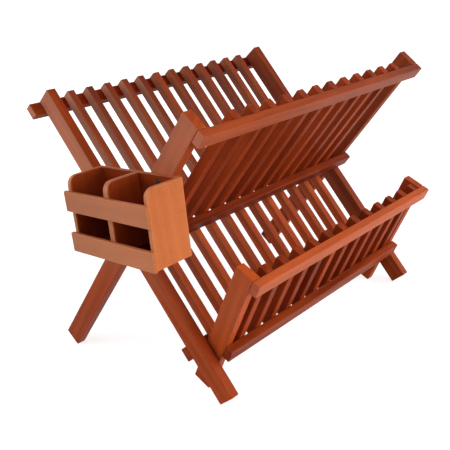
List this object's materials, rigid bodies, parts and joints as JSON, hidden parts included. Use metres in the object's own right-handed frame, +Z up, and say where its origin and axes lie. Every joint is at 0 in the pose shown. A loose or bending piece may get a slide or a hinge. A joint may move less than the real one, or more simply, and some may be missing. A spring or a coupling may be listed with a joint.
{
  "type": "folding dish rack",
  "caption": "Folding wooden dish rack: two crossed slatted panels, a hinged slatted flap in front and a two-compartment cutlery caddy on one end.",
  "frame": {"origin": "middle of the bounding box's bottom, on the surface that the rack stands on, with the rack open", "axes": "+X along the rack, from the end with the caddy to the far end; +Y from the flap to the back panel's top; +Z up"},
  "size_m": [0.5218, 0.3562, 0.3661],
  "materials": {
    "red_brown_wood": "red-brown stain under a thin satin lacquer",
    "tan_wood": "lighter orange-brown stain under a thin satin lacquer",
    "steel": "plain zinc-plated steel"
  },
  "bodies": {
    "back_frame": {"back_low_rail": "red_brown_wood", "back_slat_01": "red_brown_wood", "back_slat_02": "red_brown_wood", "back_slat_03": "red_brown_wood", "back_slat_04": "red_brown_wood", "back_slat_05": "red_brown_wood", "back_slat_06": "red_brown_wood", "back_slat_07": "red_brown_wood", "back_slat_08": "red_brown_wood", "back_slat_09": "red_brown_wood", "back_slat_10": "red_brown_wood", "back_slat_11": "red_brown_wood", "back_slat_12": "red_brown_wood", "back_stile_far": "red_brown_wood", "back_stile_near": "red_brown_wood", "back_top_rail": "red_brown_wood", "flap_pivot_screw_far": "steel", "flap_pivot_screw_near": "steel", "main_pivot_pin_far": "steel", "main_pivot_pin_near": "steel"},
    "front_frame": {"caddy_back": "tan_wood", "caddy_divider": "tan_wood", "caddy_floor": "tan_wood", "caddy_screw": "steel", "caddy_side_back": "tan_wood", "caddy_side_front": "tan_wood", "caddy_slat_bottom": "tan_wood", "caddy_slat_top": "tan_wood", "front_low_rail": "red_brown_wood", "front_slat_01": "red_brown_wood", "front_slat_02": "red_brown_wood", "front_slat_03": "red_brown_wood", "front_slat_04": "red_brown_wood", "front_slat_05": "red_brown_wood", "front_slat_06": "red_brown_wood", "front_slat_07": "red_brown_wood", "front_slat_08": "red_brown_wood", "front_slat_09": "red_brown_wood", "front_slat_10": "red_brown_wood", "front_slat_11": "red_brown_wood", "front_slat_12": "red_brown_wood", "front_stile_far": "red_brown_wood", "front_stile_near": "red_brown_wood", "front_top_rail": "red_brown_wood"},
    "flap_frame": {"flap_low_rail": "red_brown_wood", "flap_slat_01": "red_brown_wood", "flap_slat_02": "red_brown_wood", "flap_slat_03": "red_brown_wood", "flap_slat_04": "red_brown_wood", "flap_slat_05": "red_brown_wood", "flap_slat_06": "red_brown_wood", "flap_slat_07": "red_brown_wood", "flap_slat_08": "red_brown_wood", "flap_slat_09": "red_brown_wood", "flap_slat_10": "red_brown_wood", "flap_slat_11": "red_brown_wood", "flap_slat_12": "red_brown_wood", "flap_stile_far": "red_brown_wood", "flap_stile_near": "red_brown_wood", "flap_top_rail": "red_brown_wood"}
  },
  "joints": [
    {"name": "front_fold", "type": "hinge", "parent": "back_frame", "child": "front_frame", "pos_m": [0.0279, 0.01587, 0.18344], "axis": [-1, 0, 0], "range_deg": [0, 78.8]},
    {"name": "flap_fold", "type": "hinge", "parent": "back_frame", "child": "flap_frame", "pos_m": [0.0279, -0.09299, 0.05092], "axis": [-1, 0, 0], "range_deg": [0, 65.6]}
  ]
}
